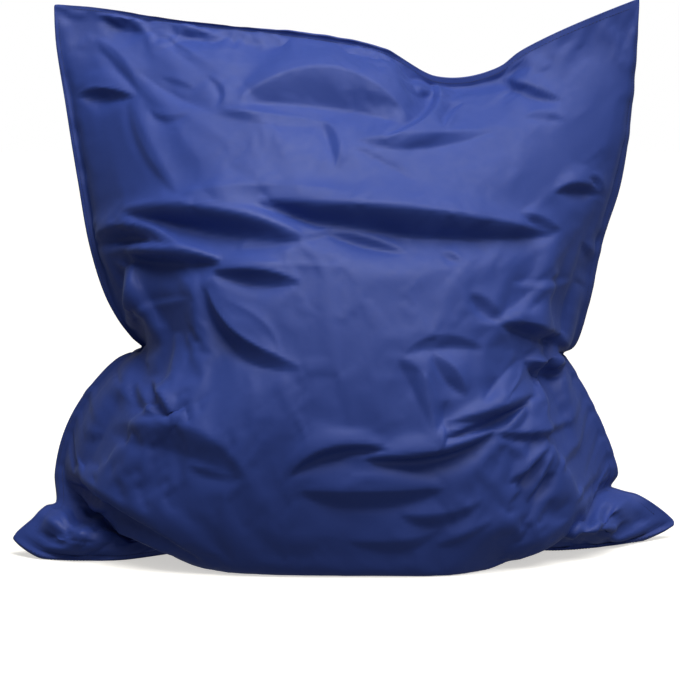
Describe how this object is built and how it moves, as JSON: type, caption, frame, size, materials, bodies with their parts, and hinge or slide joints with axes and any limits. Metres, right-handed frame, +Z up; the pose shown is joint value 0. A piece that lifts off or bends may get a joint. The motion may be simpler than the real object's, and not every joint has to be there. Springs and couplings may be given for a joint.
{
  "type": "giant bean bag",
  "caption": "Large filled floor seat of slick cloth, set upright with a deep mound for a seat, a leaning backrest and flat stitched ears at its corners.",
  "frame": {"origin": "middle of the base, on the floor, at the middle of the overall width and depth", "axes": "+Z up, +X along the width to the sitter's left as seen from the front, front towards -Y"},
  "size_m": [1.3144, 0.7332, 1.0909],
  "materials": {
    "cloth": "slick coated nylon in mid blue, soft sheen, sewn with matching thread"
  },
  "bodies": {
    "root": {"bag": "cloth"}
  },
  "joints": []
}
